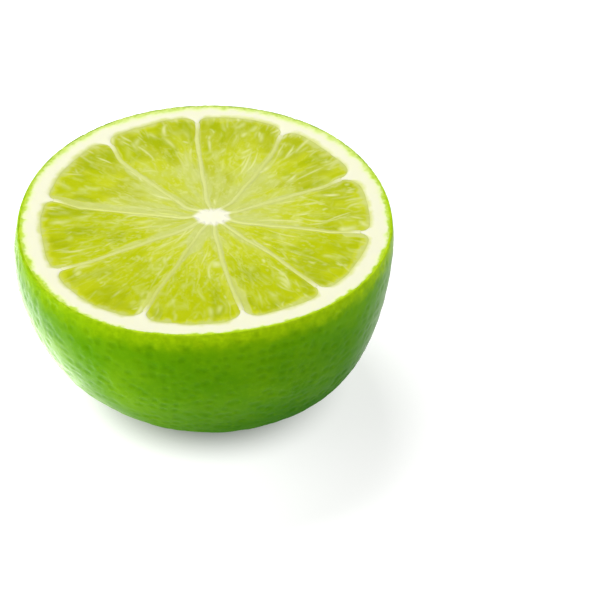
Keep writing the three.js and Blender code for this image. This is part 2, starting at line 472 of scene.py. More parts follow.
def skin_material(colours):
    shader = Shader(
        "lime_skin", IOR=1.08, Specular_Tint=(0.35, 0.7, 0.03, 1), Coat_Roughness=0.35, Coat_IOR=1.35
    )
    blotches = shader.noise(0.11, 3.0, 0.6)
    speckle = shader.noise(1.6, 2.0, 0.5)
    base = shader.mix(shader.ramp(blotches, 0.35, 0.7, 0.0, 0.3), colours.skin, colours.skin_light)
    # painted shade and painted light, from the skin's shade and light attributes
    base = shader.coats(base, shade=colours.skin_dark, light=colours.skin_light)
    base = shader.mix(shader.ramp(speckle, 0.45, 0.75, 0.0, 0.12), base, colours.skin_light)
    # painted shade: the pits are darker green, as shade falls in the dents
    base = shader.mix(shader.math("MULTIPLY", shader.attribute("pit"), 0.28), base, colours.skin_dark)
    granular = shader.ramp(speckle, 0.35, 0.65, 0.7, 1.0)
    # painted light under the cut, partly the cut edge's own yellow-green
    base = shader.mix(shader.math("MULTIPLY", shader.attribute("rim"), granular), base, colours.skin_rim)
    base = shader.coats(base, zest=colours.zest, blush=colours.blush, scar=SCAR)
    shader.set("Base Color", base)
    dry = shader.math("MULTIPLY", shader.attribute("dry"), 0.45)
    shader.set("Roughness", shader.math("ADD", shader.ramp(speckle, 0.3, 0.7, 0.18, 0.28), dry))
    shader.set("Coat Weight", shader.attribute("wax"))
    shader.bump(shader.noise(2.4, 3.0, 0.5), 0.015, 0.6)
    return shader.material


class LIME_OT_add_skin(bpy.types.Operator):
    """Spin the skin's profile into a shell, and give it its uneven outline, oil pits and stem scar"""

    bl_idname = "lime.add_skin"
    bl_label = "Add Skin"
    bl_options = {"REGISTER", "UNDO"}

    spacing = 0.28  # between the outside's rings
    steps = 584

    def execute(self, context):
        sizes = context.scene.lime_sizes
        outside, inside = self.profiles(sizes.skin / MM)
        profile = np.concatenate([outside, inside])
        obj, rows, bearing = spin_body("lime_skin", profile, self.steps)
        radius, height = profile[rows].T
        outer = rows < len(outside)
        places = self.shape(radius, height, bearing)
        normal = self.outward(outside, rows, bearing) * outer[:, None]
        below_rim = ease(0.0, 0.5, CUT_HEIGHT - height)
        off_scar = ease(FLAT_RADIUS, FLAT_RADIUS + 3, radius)
        size = 0.22 + 0.24 * patches(8, places, 2.1, octaves=1)
        pit = ease(size + 0.16, size - 0.16, glands(3, places, sizes.pit_spacing / MM)) * outer
        pebbles = 0.11 * (patches(21, places, 1.1, octaves=2) - 0.5)
        swell = 0.16 * (patches(27, places, 4.5, octaves=2) - 0.5)
        nicks = 0.25 * np.minimum(patches(22, places, 0.5, octaves=2) - 0.5, 0)
        relief = (pebbles + swell - sizes.pit_depth / MM * pit) * below_rim + nicks * (1 - below_rim)
        places = places + normal * (relief * off_scar)[:, None]
        place_corners(obj, places)
        self.paint(obj, places, normal, radius, height, bearing, pit * below_rim)
        finish_piece(obj, skin_material(context.scene.lime_colours), crease=70)
        return {"FINISHED"}

    def profiles(self, skin):
        """The outside from the stem's pole over the rim, and the inside back to the axis."""
        dome = [dome_profile(a) for a in np.linspace(1, 0, 400)]
        dome[-1] = (CUT_RADIUS, CUT_HEIGHT - 0.12)
        stem = [
            (0.0, BUTTON_TOP),
            (0.7, BUTTON_TOP),
            (BUTTON_RADIUS - 0.2, BUTTON_TOP + 0.06),
            (BUTTON_RADIUS, BUTTON_TOP + 0.3),
            (BUTTON_RADIUS + 0.25, DIMPLE_DEPTH),
            (BUTTON_RADIUS + 0.6, DIMPLE_DEPTH - 0.32),
            (DIMPLE_RADIUS, 0.0),
        ]
        rim = [(0.03, 0.05), (0.1, 0.012), (0.2, 0.0), (skin, 0.01)]
        rim = [(CUT_RADIUS - inward, CUT_HEIGHT - down) for inward, down in rim]
        outside = np.concatenate([even_profile(stem, 0.2), even_profile(dome, self.spacing), rim])
        # the inside is out of sight, so a few corners do, about a skin's thickness in
        inner = [(r - skin, z) for r, z in map(dome_profile, (0.05, WAIST_AT, 0.35, 0.5))]
        inner += [(r - 0.8 * skin, z + 0.5) for r, z in map(dome_profile, (0.65, 0.8))]
        inner += [(8.0, 1.3 + skin), (0.0, 1.3 + skin)]
        return outside, np.array(inner)

    def shape(self, radius, height, bearing):
        """Places out of round as the outline is, and rounder lower down, with a lobed stem button."""
        lobed = ease(2.5, 1.4, radius) * ease(0.2, 1.0, radius)
        out = out_of_round(radius, bearing) * (1 + 0.16 * lobed * np.cos(BUTTON_LOBES * bearing))
        return np.stack([out * np.cos(bearing) + drift(height), out * np.sin(bearing), height], axis=1)

    def outward(self, outside, rows, bearing):
        """Unit vectors out of the outside profile."""
        slope = np.gradient(outside, axis=0)
        slope /= np.linalg.norm(slope, axis=1)[:, None]
        slope = slope[np.minimum(rows, len(outside) - 1)]
        flat = slope[:, 1]
        return np.stack([flat * np.cos(bearing), flat * np.sin(bearing), -slope[:, 0]], axis=1)

    def paint(self, obj, places, normal, radius, height, bearing, pit):
        """How pitted, dry, waxy and scarred the skin is, where light and shade are painted on it, and how
        its cut edge is coloured.

        The bearings are in degrees. The front is at -90."""
        away = ease(4, 17, radius)
        down, inward = CUT_HEIGHT - height, CUT_RADIUS - radius
        ragged = noise(5, bearing * 26, 0.5) - 0.5
        patchy = ease(0.38, 0.58, patches(14, places, 0.6, octaves=2))

        # a thin dull line runs along the cut on the far side, with a blush inside it
        back = ease(0.1, 0.7, np.sin(bearing)) * ease(0.14, 0.06, down)
        dull = back * ease(0.36, 0.2, inward) * (0.5 + 0.3 * ease(0.3, 0.6, clouds(17, bearing * 19)))
        fresh = 1 - dull

        # painted light: the skin is lighter by the cut, where light falls from above, though less so on
        # the right, and lighter all the way down on the lit left side
        right = ease(0.72, 0.97, towards(bearing, -18))
        light = 0.47 * ease(5.5, 0.0, down + 3 * (patches(12, places, 4) - 0.5)) * (1 - 0.7 * right)
        painted_left_light = 0.7 * ease(0.3, 1.0, towards(bearing, 205)) * ease(2, 9, down) * away
        light = np.maximum(light, painted_left_light * patches(16, places, 5))
        # painted light just under the cut, in the cut edge's yellow-green: partly that edge's own colour,
        # partly light from above, weaker on the left
        streaks = clouds(13, bearing * 30, height * 0.8, octaves=2) - 0.5
        left = ease(0.3, 1.0, towards(bearing, 200))
        rim = (0.95 - 0.5 * left) * ease(3.2, -0.3, down + 1.4 * streaks)

        # painted shade: the skin is darker towards the stem, and most of all in front and to the front
        # right, away from the lit left
        low = ease(18, 5, height + 6 * (patches(15, places, 7) - 0.5))
        front = towards(bearing, -60)
        low_front = low * ease(-0.2, 0.9, front)
        facing = 0.55 * ease(0.0, 0.95, front) + 0.6 * ease(0.7, 1.0, towards(bearing, -30))
        shade = 0.47 * low + 0.13 * low_front + 0.4 * facing * away * ease(2, 10, down) + 0.7 * dull

        zest = ease(-0.15, 0.3, inward + 0.3 * ragged) * ease(0.8, 0.0, down + 0.6 * ragged)
        zest = zest * (1 - 0.4 * zest_width(bearing)) * (0.35 + 0.65 * patchy)
        wax_left = 0.9 * ease(0.75, 0.98, normal @ (-0.8, -0.32, -0.5))
        wax_right = 0.85 * ease(0.82, 0.99, normal @ (0.96, -0.05, -0.28))
        wax = np.maximum(wax_left, wax_right) * away * (0.6 + 0.4 * patches(18, places, 3))
        add_attributes(
            obj,
            pit=np.clip(pit * (0.45 + 0.55 * patches(9, places, 3, octaves=1)), 0, 1),
            light=light * fresh,
            rim=rim * fresh,
            dry=np.maximum(low_front, 0.5 * away * right),
            shade=np.clip(shade, 0, 1),
            zest=zest * fresh,
            blush=0.8 * back * fresh * (0.5 + 0.5 * patchy),
            wax=wax,
            scar=ease(2.2, 1.5, radius) * np.any(normal != 0, axis=1),
        )


# ---- Pith and rind ----


def pith_material(colours):
    shader = Shader("lime_pith", Roughness=0.55, IOR=1.4, Specular_Tint=(1.0, 1.0, 0.6, 1))
    shader.scatter(0.35, (1.0, 1.0, 0.55), 0.5)
    grain = shader.noise(1.3, 4.0, 0.65)
    base = shader.coats(
        colours.pith,
        wet=colours.membrane,
        blush=colours.blush,
        zest=colours.zest,
        gland=colours.skin_rim,
    )
    shader.set("Base Color", base)
    shader.bump(grain, 0.03, 0.5)
    return shader.material


def zest_width(bearing):
    """How wide the green layer is on the cut: 0 where it is narrowest, 1 where it is widest."""
    return ease(0.9, 0.0, towards(bearing, 290))


class LIME_OT_add_pith(bpy.types.Operator):
    """Spin the rind's white body with its pan for the segments, and shape the lobed ring on the cut"""

    bl_idname = "lime.add_pith"
    bl_label = "Add Pith"
    bl_options = {"REGISTER", "UNDO"}

    steps = 1200
    overlap = 0.02  # of the ring with the skin

    def execute(self, context):
        sizes = context.scene.lime_sizes
        skin, rind = sizes.skin / MM, sizes.rind / MM
        # the pan under the segments: the share of the way from the core to the lobes, and the drop
        pan = [(0.0, PAN_DEPTH), (0.55, PAN_DEPTH), (1.0, PAN_DEPTH), (1.0, 2.0), (1.0, 0.6)]
        # the ring on the cut: the share of the way from the lobes to the skin, and the drop
        ring = [(0.0, 0.14), (0.03, 0.1), (0.07, 0.06), (0.12, 0.035), (0.18, 0.018)]
        ring += [(share, 0.008) for share in np.linspace(0.25, 1.0, 26)]
        # the wall inside the skin: the mean radius, and the height
        wall = [(CUT_RADIUS - skin, CUT_HEIGHT - 0.2)]
        wall += [(r - skin, z) for r, z in map(dome_profile, (0.05, WAIST_AT, 0.35))]
        wall += [(r - skin, z + 0.5) for r, z in map(dome_profile, (0.5, 0.65, 0.8))]
        wall += [(7.6, 1.9 + skin), (0.0, 1.9 + skin)]
        # the pan and the ring are spun at rough radii, and moved to their places afterwards
        profile = [(20 * share, CUT_HEIGHT - drop) for share, drop in pan]
        profile += [(20 + 5 * share, CUT_HEIGHT - drop) for share, drop in ring] + wall
        obj, rows, bearing = spin_body("lime_pith", profile, self.steps)

        first, second = np.concatenate([pan, ring, wall])[rows].T
        on_wall = rows >= len(pan) + len(ring)
        on_ring = (rows >= len(pan)) & ~on_wall
        edge, reach = pulp_edge(bearing, rind, 0.3), measure_reach(bearing)
        across_ring = edge + first * (reach - skin + self.overlap - edge)
        distance = np.where(rows < len(pan), edge * first, across_ring)
        x, y = from_core(distance, bearing)
        grain = clouds(41, x / 0.7, y / 0.7) - 0.5
        z = CUT_HEIGHT - second + on_ring * ease(0.0, 0.3, distance - edge) * (0.03 * grain - 0.02)
        rim_x, rim_y = from_core(reach, bearing)
        turn = np.arctan2(rim_y, rim_x)
        wide = out_of_round(first, turn)
        x = np.where(on_wall, wide * np.cos(turn) + drift(second), x)
        y = np.where(on_wall, wide * np.sin(turn), y)
        place_corners(obj, np.stack([x, y, np.where(on_wall, second, z)], axis=1))
        angle, _ = nearest_membrane(bearing)
        corner = ease(1.3, 0.2, np.sin(np.clip(angle, 0, 1.5)) * distance)
        self.paint(obj, x, y, turn, reach - distance, distance - edge + 0.6 * corner, on_ring)
        finish_piece(obj, pith_material(context.scene.lime_colours), crease=60)
        return {"FINISHED"}

    def paint(self, obj, x, y, turn, depth, past_pulp, on_ring):
        """From the skin inwards: the ragged green zest with its oil glands, a blush, and the white.

        The depth is from the skin inwards, and past_pulp is from the pulp outwards, where it is wet."""
        place = turn * CUT_RADIUS / 1.3
        cell = np.floor(place)
        chance = [lattice([cell], seed) for seed in (61, 62, 63, 64)]
        size, strength = 0.05 + 0.25 * chance[1], 0.2 + 0.5 * chance[3]
        aside = (place - (cell + 0.15 + 0.7 * chance[0])) * 1.3
        away = np.hypot(aside, 1.4 * (depth - (0.35 + 0.4 * chance[2])))
        speck = 0.6 * ease(0.56, 0.7, clouds(52, x / 0.5, y / 0.5, octaves=2))
        gland = np.maximum(strength * ease(size + 0.16, size - 0.1, away), speck)
        ragged = clouds(51, turn * 21, depth * 0.9) - 0.5
        level = (depth + ragged) / (0.55 + 0.5 * zest_width(turn))
        zest = ease(1.1, 0.4, level) * (1 - 0.5 * ease(0.2, 0.8, np.sin(turn))) * on_ring
        add_attributes(
            obj,
            gland=gland * ease(0, 0.7, zest),
            zest=zest,
            blush=0.7 * ease(1.6, 0.5, level) * on_ring,
            wet=ease(0.8, 0.0, past_pulp + 0.7 * (clouds(71, x / 1.2, y / 1.2) - 0.5)),
        )


# ---- Membranes and core ----


def membrane_material(colours):
    shader = Shader("lime_membrane", Roughness=0.35, IOR=1.4, Specular_Tint=(1.0, 1.0, 0.5, 1))
    shader.scatter(0.3, (1.0, 1.0, 0.5), 0.4)
    grain = shader.noise(1.8, 3.0, 0.6)
    base = shader.mix(shader.ramp(grain, 0.35, 0.75, 0.0, 0.4), colours.membrane, colours.pulp_milky)
    base = shader.coats(
        base,
        flank=colours.pulp_milky,
        faint=colours.pulp_mid,
        corner=colours.pith,
        white=colours.core,
    )
    shader.set("Base Color", base)
    shader.bump(grain, 0.02, 0.5)
    return shader.material


def core_edge(bearing, core):
    """Radius of the core's ragged star, which runs out a little into each membrane."""
    arms = ease(0.3, 0.0, nearest_membrane(bearing)[0])
    uneven = clouds(85, 3 + 1.7 * np.cos(bearing), 3 + 1.7 * np.sin(bearing)) - 0.5
    return core * (0.98 + 0.06 * arms + 0.17 * np.cos(2 * bearing) + 0.45 * uneven)


def wobble(index, distance):
    """How far a membrane stands sideways off its straight line, by its bow and by chance."""
    chance = 0.5 * (clouds(81, distance / 6.0, index * 7.31 + 0.5, octaves=2) - 0.5)
    end = measure_reach(STARTS)[index] - 4.2  # where the walls meet the rind
    return ease(1.2, 4.5, distance) * ease(0.0, 4.5, end - distance) * (BOWS[index] + chance)


class LIME_OT_add_membranes(bpy.types.Operator):
    """Spin a wheel for the core and the walls between the segments, and shape its spokes"""

    bl_idname = "lime.add_membranes"
    bl_label = "Add Membranes and Core"
    bl_options = {"REGISTER", "UNDO"}

    # places across one spoke, from foot to foot, as shares of its crest's half width
    spoke = (-1.9, -1.5, -1.15, -0.85, -0.5, 0.0, 0.5, 0.85, 1.15, 1.5, 1.9)
    # and on the floor: one on its left side, and one on the right side of the next spoke
    floor = (2.6, -2.6)
    reach = 22.6  # the wheel's radius as spun
    hub = 12.0

    def execute(self, context):
        sizes = context.scene.lime_sizes
        rays = np.concatenate([np.linspace(0.15, 3.6, 26), np.arange(3.75, self.reach, 0.15)])
        bottom = CUT_HEIGHT - PAN_DEPTH + 0.1
        profile = [(r, CUT_HEIGHT) for r in (0, *rays)]
        profile += [(r, bottom) for r in (self.reach, self.hub, 0)]
        across = self.spoke + self.floor
        columns = len(across) * SEGMENTS
        obj, rows, turn = spin_body("lime_membranes", profile, columns, doublings=1)

        column = np.round(turn / math.tau * columns).astype(int) % columns
        index, place = np.divmod(column, len(across))
        offset = np.array(across)[place]
        owner = np.where(offset == self.floor[1], index + 1, index) % SEGMENTS
        off, side = np.abs(offset), np.sign(offset)
        distance = np.array(profile)[rows, 0]
        edge = pulp_edge(STARTS, sizes.rind / MM, 0.3)[owner] + 0.5  # a little way into the rind
        distance = distance + ease(self.hub, rays[-1], distance) * (edge - rays[-1])
        end = ease(2.8, 0.0, edge - distance)
        uneven = clouds(83, distance / 1.7, owner * 3.7 + side) - 0.5
        thick = (1 + 0.1 * end + 0.15 * ease(4.0, 2.0, distance)) * (1.05 + 0.8 * uneven * (1 - end))
        lateral = off * sizes.membrane / MM * thick
        gap = np.where(side < 0, SPANS[owner - 1], SPANS[owner])
        angle = np.minimum(lateral / np.maximum(distance, 0.01), 0.49 * gap * off / self.floor[0])
        shift = wobble(owner, distance) / np.maximum(distance, 1.0)
        bearing = STARTS[owner] + side * angle + shift
        x, y = from_core(distance, bearing)

        # the core's ragged star stands over the spokes that run out of it
        star = core_edge(bearing, sizes.core / MM)
        in_core = ease(star + 0.15, star - 0.15, distance)
        crest = CUT_HEIGHT - 0.05 - 0.05 * np.clip(off, 0, 1.9) ** 2
        crest = crest - 0.05 * (1 - end) * clouds(87, distance / 1.3, owner * 5.1)
        crest = crest - 0.25 * ease(0.5, 0.0, edge - distance)
        crest = np.where(off > 2, CUT_HEIGHT - PAN_DEPTH + 0.2, crest)
        top = CUT_HEIGHT - 0.08 + 0.03 * (clouds(89, x / 0.6, y / 0.6) - 0.5)
        height = np.where(rows < len(profile) - 3, crest * (1 - in_core) + top * in_core, bottom)
        place_corners(obj, np.stack([x, y, height], axis=1))
        add_attributes(
            obj,
            white=ease(star + 0.8, star, distance),
            corner=0.55 * ease(2.4, 0.5, edge - distance),
            flank=(1 - in_core) * ease(0.5, 1.7, off),
            faint=(1 - PALENESS[owner]) * ease(2.5, 9.0, distance),
        )
        finish_piece(obj, membrane_material(context.scene.lime_colours), crease=80)
        return {"FINISHED"}


# ---- Segments ----


def pulp_material(colours):
    shader = Shader(
        "lime_pulp", IOR=1.36, Specular_Tint=(0.9, 1.0, 0.15, 1), Specular_IOR_Level=0.32
    )
    shader.scatter(0.4, (1.0, 1.0, 0.25), 0.8)
    veil, bright = shader.attribute("veil"), shader.attribute("bright")
    # painted light: pulp that is bright and warm where light would come through it
    clear = shader.mix(bright, colours.pulp, colours.pulp_bright)
    middle = shader.mix(bright, colours.pulp_mid, colours.pulp_warm)
    base = shader.mix(shader.ramp(veil, 0.1, 0.5), clear, middle)
    base = shader.mix(shader.ramp(veil, 0.45, 1.0), base, colours.pulp_milky)
    # pale fibres with painted glints, and the core's white halo
    shader.set("Base Color", shader.coats(base, thread=colours.fibre, halo=colours.core))
    wet = shader.noise(1.1, 3.0, 0.55)
    shader.set("Roughness", shader.ramp(wet, 0.35, 0.7, 0.1, 0.24))
    shader.bump(wet, 0.035, 0.5)
    return shader.material


def seen_from(x, y, along, across, turn):
    """How far ahead and how far aside places are, seen from one place that faces along the turn."""
    ahead = (x - along) * math.cos(turn) + (y - across) * math.sin(turn)
    aside = (y - across) * math.cos(turn) - (x - along) * math.sin(turn)
    return ahead, aside


class Segment:
    """One segment's plan, its juice sacs and its threads. Lengths are in millimetres."""

    inset = 0.1  # between its sides and the middle lines of its membranes
    sac_row = 2.3  # from one row of sacs to the next
    depth = 23  # from the core to the last row

    def __init__(self, index, sizes):
        self.index = index
        self.following = (index + 1) % SEGMENTS
        self.random = np.random.default_rng(100 + index)
        self.start, self.span = STARTS[index], SPANS[index]
        self.middle = self.start + self.span / 2
        self.rind = sizes.rind / MM
        self.core = sizes.core / MM

    def plan(self, across, along):
        """Turns shares across and along the segment into distances and bearings from the core."""
        # the segment runs a little way under the rind and the core
        foot = self.inset / (CUT_RADIUS - self.rind)
        outer = self.start + foot + across * (self.span - 2 * foot)
        edge = pulp_edge(outer, self.rind, 0.15) + 0.12
        tip = core_edge(self.start + across * self.span, self.core) - 0.25
        distance = tip + along * (edge - tip)
        first = (self.inset + wobble(self.index, distance)) / distance
        last = (self.inset - wobble(self.following, distance)) / distance
        return distance, self.start + first + across * (self.span - first - last), edge

    def local(self, distance, bearing):
        """Coordinates along and across the segment's middle line, from the core."""
        turn = bearing - self.middle
        return distance * np.cos(turn), distance * np.sin(turn)

    def warp(self, x, y):
        """The same places, bent as the sacs bend, so that nothing runs quite straight."""
        aside = 0.9 * (clouds(90 + self.index, x * 0.2, y * 0.35, octaves=2) - 0.5)
        return x + 0.5 * (clouds(50 + self.index, x * 0.5, y * 0.5) - 0.5), y + aside

    def sow_sacs(self):
        """Juice sacs, as (place along, place across, turn, half length, half width, tone, tilt)."""
        sacs, draw, distance = [], self.random.uniform, self.sac_row
        while distance < self.depth:
            out = distance / self.depth
            width = 0.9 + 0.9 * out
            half = distance * math.tan(self.span / 2)
            count = max(1, round(2 * half / width / 1.1))
            for i in range(count):
                across = -half + (i + 0.5) * 2 * half / count + draw(-0.35, 0.35) * width
                along = distance + draw(-1.2, 1.2)
                turn = 0.85 * math.atan2(across, along) + draw(-0.16, 0.16)
                length = draw(2.6, 4.6) * (0.75 + 0.5 * out)
                width_here = width * draw(0.8, 1.25)
                sacs.append((along, across, turn, length, width_here, draw(-1, 1), draw(-1, 1)))
            distance += self.sac_row
        return sacs

    def sac_fields(self, x, y):
        """For places on the segment: how far inside a sac they are, its tone, and its tilt there."""
        best, second = np.full(x.shape, -9.0), np.full(x.shape, -9.0)
        tone, slope = np.zeros(x.shape), np.zeros(x.shape)
        for along, across, turn, length, width, sac_tone, tilt in self.sow_sacs():
            ahead, aside = seen_from(x, y, along, across, turn)
            inside = 1 - (ahead / length) ** 2 - (aside / (width * (1 + 0.25 * ahead / length))) ** 2
            wins = inside > best
            second = np.where(wins, best, np.maximum(second, inside))
            tone = np.where(wins, sac_tone, tone)
            slope = np.where(wins, tilt * aside, slope)
            best = np.where(wins, inside, best)
        return best - second, tone, slope

    def cloudy(self, x, y):
        """Large places with many threads and a veil, 1, and clear places between them, 0."""
        return ease(0.42, 0.6, clouds(30 + self.index, x * 0.17, y * 0.34, octaves=2))

    def veins(self, x, y):
        """A fine net of pale lines, drawn out away from the core."""
        net = np.zeros(x.shape)
        for seed, scale, strength in ((20, 0.4, 0.14), (140, 0.7, 0.06)):
            field = clouds(seed + self.index, x * scale * 0.3, y * scale * 1.3, octaves=2)
            net = np.maximum(net, strength * ease(0.08, 0.0, np.abs(2 * field - 1)))
        return net

    def threads(self, x, y):
        """Pale threads, and short bright flecks that are painted glints: how strong they are at each
        place.
        """
        draw, normal = self.random.uniform, self.random.normal
        strength = np.zeros(x.shape)

        def lay(along, across, turn, length, width, power, bow, sharp=True):
            """One pale line or fleck, at its place along and across the segment."""
            nonlocal strength
            ahead, aside = seen_from(x, y, along, across, turn)
            aside = aside - bow * ahead**2
            taper = np.clip(1 - (ahead / length) ** 2, 0, 1)
            wide = width * (0.5 + 0.5 * taper) if sharp else width
            strength = np.maximum(strength, power * taper * np.exp(-((aside / wide) ** 2)))

        def spot(nearest, farthest, lean):
            """A random place on the segment: along, across, and the direction away from the core."""
            along = nearest + (farthest - nearest) * draw() ** lean
            across = draw(-0.96, 0.96) * along * math.tan(self.span / 2)
            return along, across, math.atan2(across, along)

        for _ in range(15):  # threads
            along, across, turn = spot(3, 22, 0.7)
            width, length = draw(0.1, 0.22), 0.5 + 2.2 * draw() ** 2
            power, bow = 0.25 + 0.75 * draw() ** 1.2, normal(0, 0.08) / length
            lay(along, across, turn + normal(0, 0.3), length, width, power, bow)
        for _ in range(3):  # the long bowed edges of large sacs
            along, across, turn = spot(8, 17, 1.0)
            bow = normal(0, 0.05)
            lay(along, across, turn + normal(0, 0.1), draw(2.5, 4.5), draw(0.1, 0.2), draw(0.5, 0.9), bow)
        for _ in range(9):  # the sacs' tails, standing inwards from the rind
            along, across, turn = spot(19.5, 23, 1.0)
            power, bow = draw(0.2, 1.0), normal(0, 0.1)
            lay(along, across, turn + normal(0, 0.2), draw(0.4, 1.6), draw(0.12, 0.3), power, bow)
        # flecks: painted glints on the wet pulp
        for _ in range(14):  # flecks
            along, across, turn = spot(3, 22.5, 0.6)
            turn, power = turn + normal(0, 0.5), draw(0.2, 0.9)
            length, width, bow = draw(0.35, 0.9), draw(0.08, 0.19), normal(0, 0.4)
            lay(along, across, turn, length, width, power, bow, sharp=False)
        for _ in range(11):  # broad pale blobs
            along, across, turn = spot(9, 22, 0.8)
            turn, power = turn + normal(0, 0.3), draw(0.3, 1.0)
            length, width, bow = draw(0.6, 1.8), draw(0.18, 0.45), normal(0, 0.1)
            lay(along, across, turn, length, width, power, bow, sharp=False)
        return strength

    def beside(self, side, distance, seed):
        """A pale veil along one membrane: narrow all the way, and broad in places."""
        draw = self.random.uniform
        broad = draw(0.7, 2.1) * ease(0.3, 0.7, noise(seed, distance / 5, self.index))
        soft = side + 0.6 * (clouds(seed + 1, distance * 0.5, side * 1.2) - 0.5)
        close = 0.8 * ease(0.75, 0.15, side)
        return np.maximum(close, draw(0.35, 0.85) * ease(1.0, 0.7, soft / (broad + 0.01)))

    def veil(self, x, y, distance, bearing, edge, tone):
        """How milky the pulp is: by the core, beside the membranes and the rind, and in patches.

        The half of the fruit towards +Y is the milkier one."""
        draw = self.random.uniform
        milky = ease(-0.7, 0.8, math.sin(self.middle))
        share = distance / edge
        reach = 0.55 + 0.2 * milky + draw(-0.06, 0.06)
        blur = 0.4 * (clouds(10 + self.index, x * 0.35, y * 0.5) - 0.5)
        streaks = 1 + 0.6 * (clouds(15, bearing * 7, distance * 0.3, octaves=2) - 0.5)
        by_core = (0.6 + 0.12 * milky) * (1 - ease(reach - 0.4, reach + 0.14, share + blur)) * streaks
        past_first = bearing - self.start - wobble(self.index, distance) / distance
        to_last = self.start + self.span + wobble(self.following, distance) / distance - bearing
        first = self.beside(distance * np.sin(np.clip(past_first, 0, 1.5)), distance, 170)
        last = self.beside(distance * np.sin(np.clip(to_last, 0, 1.5)), distance, 180)
        ragged = 1.4 * (clouds(6, x * 0.7, y * 1.1) - 0.5)
        fringe = 0.85 * ease(1.5, 0.1, edge - distance + ragged)
        patch = (0.16 + 0.14 * milky) * self.cloudy(x, y)
        clear = 0.95
        for part in (by_core, first, last, fringe, patch):
            clear = clear * (1 - part)
        fibre = 0.25 * (clouds(5, bearing * 11, distance * 0.3, octaves=2) - 0.5) * (1.3 - share)
        return np.clip(1 - clear + 0.08 * tone + fibre, 0, 1)


class LIME_OT_add_segments(bpy.types.Operator):
    """Model the ten segments from grids: lobed plan, juice sacs in relief, and closed sides below"""

    bl_idname = "lime.add_segments"
    bl_label = "Add Segments"
    bl_options = {"REGISTER", "UNDO"}

    # how fine one segment's grid is, across the segment and along it
    columns = 112
    rows = 168

    def execute(self, context):
        material = pulp_material(context.scene.lime_colours)
        for index in range(SEGMENTS):
            self.add_segment(index, context.scene.lime_sizes, material)
        return {"FINISHED"}

    def add_segment(self, index, sizes, material):
        """One segment: its grid is laid out and shaped, painted, and closed below."""
        deselect_all()
        bpy.ops.mesh.primitive_grid_add(
            x_subdivisions=self.columns, y_subdivisions=self.rows, size=1, location=(0, 0, 0)
        )
        obj = bpy.context.object
        obj.name = obj.data.name = f"lime_segment_{index + 1:02d}"
        even, along = corners_of(obj)[:, :2].T + 0.5
        across = 0.55 * even + 0.45 * (0.5 - 0.5 * np.cos(np.pi * even))  # closer together by the sides

        segment = Segment(index, sizes)
        distance, bearing, edge = segment.plan(across, along)
        outward = distance / edge
        x, y = segment.warp(*segment.local(distance, bearing))
        inside, tone, slope = segment.sac_fields(x, y)
        tone = tone * ease(0, 0.35, inside)
        gathered = 0.35 + 0.65 * segment.cloudy(x, y)
        thread = np.maximum(segment.threads(x, y), segment.veins(x, y)) * gathered
        # painted glints: a fine bright sparkle over the inner pulp
        painted_sparkle = 0.24 * ease(0.58, 0.74, clouds(130 + index, x * 1.5, y * 2.6, octaves=2))
        thread = np.maximum(thread, painted_sparkle * ease(0.95, 0.55, outward))
        veil = segment.veil(x, y, distance, bearing, edge, tone)
        wall = np.exp(-((inside / 0.16) ** 2)) * ease(0.35, 0.8, clouds(77, x * 0.7, y * 0.7))
        # brighter clear pulp, partly by chance and partly painted light where light would come through:
        # more towards the core and in the front segments
        bright = clouds(40 + index, x * 0.22, y * 0.4, octaves=2) + 0.1 * tone
        bright = bright + 0.3 * ease(0.9, 0.3, outward) - 0.18 * math.sin(segment.middle + 0.25)

        side = np.minimum(across, 1 - across) * segment.span * distance
        shoulder = np.minimum(np.minimum(side, edge - distance), along * 22)
        inner, grown = ease(0.0, 0.6, shoulder), ease(2.0, 6.0, distance)
        sacs = sizes.sacs / MM * (ease(0.0, 0.9, inside) - 0.6) * (0.35 + 0.65 * grown)
        tilts = 0.035 * slope * ease(0.1, 0.7, inside) * grown
        swell = 0.07 * (clouds(95, x / 3.2, y / 2.2, octaves=2) - 0.5)
        rounded = 0.02 * (1 - ease(0.0, 0.4, shoulder)) ** 2
        height = CUT_HEIGHT - sizes.sink / MM - rounded + (sacs + tilts + swell) * inner + 0.02 * thread
        place_corners(obj, np.stack([*from_core(distance, bearing), height], axis=1))
        add_attributes(
            obj,
            veil=veil,
            bright=ease(0.3, 0.72, bright),
            thread=np.clip(0.2 * wall + 0.95 * thread, 0, 1),
            halo=ease(0.7, -0.1, distance - core_edge(bearing, segment.core)),
        )
        self.close_below()
        finish_piece(obj, material, crease=60)

    def close_below(self):
        """Extrudes the new grid's border down twice and closes the bottom."""
        bpy.ops.object.mode_set(mode="EDIT")
        bpy.ops.mesh.select_mode(type="EDGE")
        bpy.ops.mesh.select_all(action="SELECT")
        bpy.ops.mesh.region_to_loop()
        for drop in (0.6, PAN_DEPTH - 1.4):
            bpy.ops.mesh.extrude_region_move(TRANSFORM_OT_translate={"value": (0, 0, -drop * MM)})
        bpy.ops.mesh.edge_face_add()
        bpy.ops.mesh.select_all(action="SELECT")
        bpy.ops.mesh.normals_make_consistent(inside=False)
        bpy.ops.object.mode_set(mode="OBJECT")


# ---- Stage ----


def add_light(name, place, aim, size, power):
    """A soft white light, placed and aimed in metres."""
    lamp = bpy.data.lights.new(name, "AREA")
    lamp.shape = "RECTANGLE"
    lamp.size, lamp.size_y = size
    lamp.energy = power
    obj = bpy.data.objects.new(name, lamp)
    bpy.context.collection.objects.link(obj)
    obj.location = place
    obj.rotation_euler = (Vector(aim) - Vector(place)).to_track_quat("-Z", "Y").to_euler()


